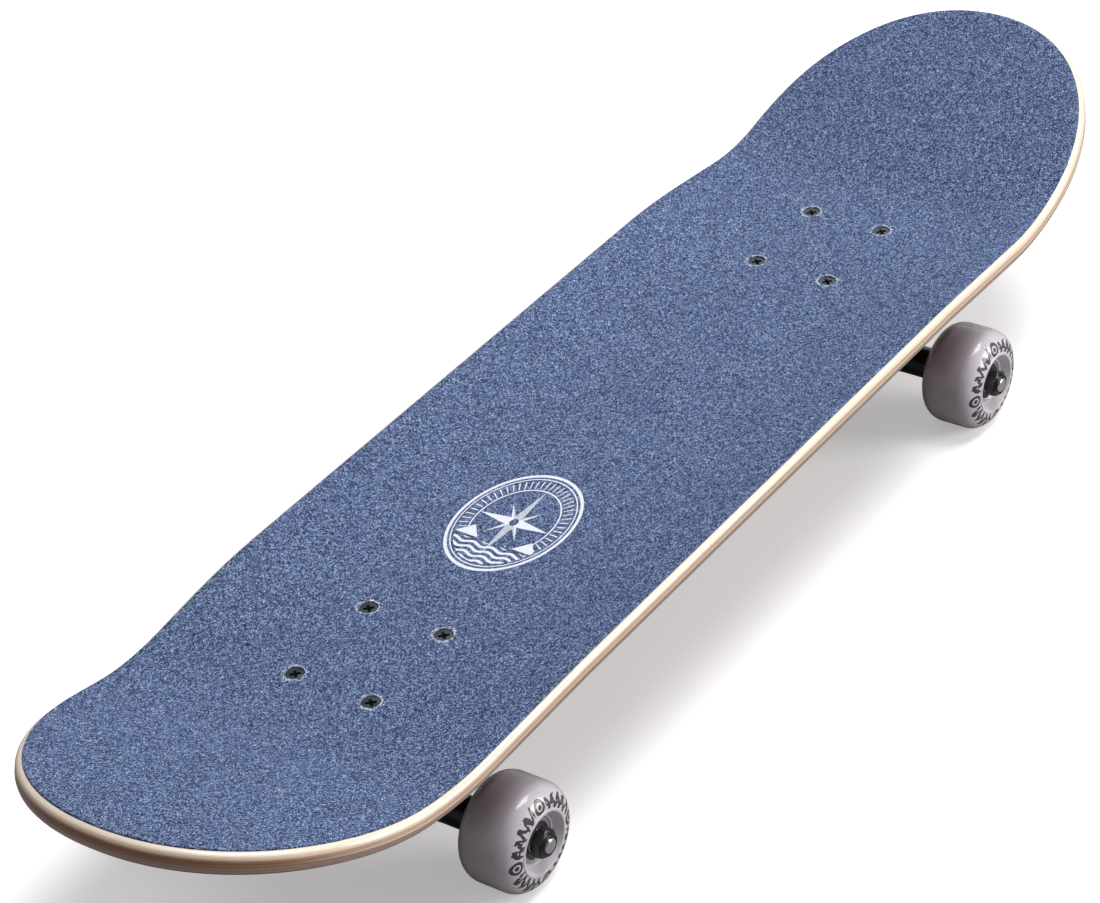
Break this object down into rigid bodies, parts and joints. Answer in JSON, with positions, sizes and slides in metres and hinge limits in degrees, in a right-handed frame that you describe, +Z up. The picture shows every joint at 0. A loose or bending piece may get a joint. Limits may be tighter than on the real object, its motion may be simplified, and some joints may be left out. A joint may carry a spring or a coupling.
{
  "type": "skateboard",
  "caption": "Kicktail skateboard: laminated concave deck with blue grip tape, sprung steering trucks and white urethane wheels on ball bearings.",
  "frame": {"origin": "on the ground under the middle of the board's outline, at the bottom centre of its box", "axes": "+X from the tail to the nose, +Y to the left, +Z up"},
  "size_m": [0.7642, 0.198, 0.1286],
  "materials": {
    "deck_wood": "satin lacquer over maple veneers",
    "grip": "coarse silicon-carbide grit with light flecks",
    "black_casting": "satin black paint over cast aluminium",
    "bushing_urethane": "satin urethane",
    "zinc_steel": "bright zinc plate",
    "black_steel": "black oxide, worn at the edges",
    "wheel_urethane": "glossy poured urethane",
    "bearing_steel": "ground and polished",
    "bearing_seal": "satin rubber seal"
  },
  "bodies": {
    "board": {"deck": "deck_wood", "grip_tape": "grip", "front_baseplate": "black_casting", "front_pivot_cup": "bushing_urethane", "front_kingpin": "zinc_steel", "front_kingpin_nut": "zinc_steel", "front_upper_washer": "zinc_steel", "front_lower_washer": "zinc_steel", "front_barrel_bushing": "bushing_urethane", "front_cone_bushing": "bushing_urethane", "front_mounting_bolts": "black_steel", "front_lock_nuts": "zinc_steel", "rear_baseplate": "black_casting", "rear_pivot_cup": "bushing_urethane", "rear_kingpin": "zinc_steel", "rear_kingpin_nut": "zinc_steel", "rear_upper_washer": "zinc_steel", "rear_lower_washer": "zinc_steel", "rear_barrel_bushing": "bushing_urethane", "rear_cone_bushing": "bushing_urethane", "rear_mounting_bolts": "black_steel", "rear_lock_nuts": "zinc_steel"},
    "front_hanger_set": {"front_hanger": "black_casting", "front_axle": "zinc_steel", "front_left_bearing_inner_rings": "bearing_steel", "front_left_bearing_spacer": "bearing_steel", "front_left_speed_washers": "zinc_steel", "front_left_axle_nut": "black_steel", "front_right_bearing_inner_rings": "bearing_steel", "front_right_bearing_spacer": "bearing_steel", "front_right_speed_washers": "zinc_steel", "front_right_axle_nut": "black_steel"},
    "rear_hanger_set": {"rear_hanger": "black_casting", "rear_axle": "zinc_steel", "rear_left_bearing_inner_rings": "bearing_steel", "rear_left_bearing_spacer": "bearing_steel", "rear_left_speed_washers": "zinc_steel", "rear_left_axle_nut": "black_steel", "rear_right_bearing_inner_rings": "bearing_steel", "rear_right_bearing_spacer": "bearing_steel", "rear_right_speed_washers": "zinc_steel", "rear_right_axle_nut": "black_steel"},
    "front_left_wheel_set": {"front_left_wheel": "wheel_urethane", "front_left_bearing_outer_rings": "bearing_steel", "front_left_bearing_shields": "bearing_seal"},
    "front_left_ball_set": {"front_left_bearing_balls": "bearing_steel"},
    "front_right_wheel_set": {"front_right_wheel": "wheel_urethane", "front_right_bearing_outer_rings": "bearing_steel", "front_right_bearing_shields": "bearing_seal"},
    "front_right_ball_set": {"front_right_bearing_balls": "bearing_steel"},
    "rear_left_wheel_set": {"rear_left_wheel": "wheel_urethane", "rear_left_bearing_outer_rings": "bearing_steel", "rear_left_bearing_shields": "bearing_seal"},
    "rear_left_ball_set": {"rear_left_bearing_balls": "bearing_steel"},
    "rear_right_wheel_set": {"rear_right_wheel": "wheel_urethane", "rear_right_bearing_outer_rings": "bearing_steel", "rear_right_bearing_shields": "bearing_seal"},
    "rear_right_ball_set": {"rear_right_bearing_balls": "bearing_steel"}
  },
  "joints": [
    {"name": "front_steer", "type": "hinge", "parent": "board", "child": "front_hanger_set", "pos_m": [0.22171, 0, 0.0609], "axis": [0.9097, 0, 0.4153], "range_deg": [-15, 15], "stiffness_Nm_per_rad": 45, "deforming": ["front_barrel_bushing", "front_cone_bushing"]},
    {"name": "rear_steer", "type": "hinge", "parent": "board", "child": "rear_hanger_set", "pos_m": [-0.22849, 0, 0.0609], "axis": [-0.9097, 0, 0.4153], "range_deg": [-15, 15], "stiffness_Nm_per_rad": 45, "deforming": ["rear_barrel_bushing", "rear_cone_bushing"]},
    {"name": "front_left_spin", "type": "hinge", "parent": "front_hanger_set", "child": "front_left_wheel_set", "pos_m": [0.19971, 0.079, 0.026], "axis": [0, 1, 0], "continuous": true},
    {"name": "front_left_balls_orbit", "type": "hinge", "parent": "front_hanger_set", "child": "front_left_ball_set", "pos_m": [0.19971, 0.079, 0.026], "axis": [0, 1, 0], "continuous": true},
    {"name": "front_right_spin", "type": "hinge", "parent": "front_hanger_set", "child": "front_right_wheel_set", "pos_m": [0.19971, -0.079, 0.026], "axis": [0, 1, 0], "continuous": true},
    {"name": "front_right_balls_orbit", "type": "hinge", "parent": "front_hanger_set", "child": "front_right_ball_set", "pos_m": [0.19971, -0.079, 0.026], "axis": [0, 1, 0], "continuous": true},
    {"name": "rear_left_spin", "type": "hinge", "parent": "rear_hanger_set", "child": "rear_left_wheel_set", "pos_m": [-0.20649, 0.079, 0.026], "axis": [0, 1, 0], "continuous": true},
    {"name": "rear_left_balls_orbit", "type": "hinge", "parent": "rear_hanger_set", "child": "rear_left_ball_set", "pos_m": [-0.20649, 0.079, 0.026], "axis": [0, 1, 0], "continuous": true},
    {"name": "rear_right_spin", "type": "hinge", "parent": "rear_hanger_set", "child": "rear_right_wheel_set", "pos_m": [-0.20649, -0.079, 0.026], "axis": [0, 1, 0], "continuous": true},
    {"name": "rear_right_balls_orbit", "type": "hinge", "parent": "rear_hanger_set", "child": "rear_right_ball_set", "pos_m": [-0.20649, -0.079, 0.026], "axis": [0, 1, 0], "continuous": true}
  ],
  "couplings": [
    {"joint": "front_left_balls_orbit", "follows": "front_left_spin", "ratio": 0.6323},
    {"joint": "front_right_balls_orbit", "follows": "front_right_spin", "ratio": 0.6323},
    {"joint": "rear_left_balls_orbit", "follows": "rear_left_spin", "ratio": 0.6323},
    {"joint": "rear_right_balls_orbit", "follows": "rear_right_spin", "ratio": 0.6323}
  ]
}
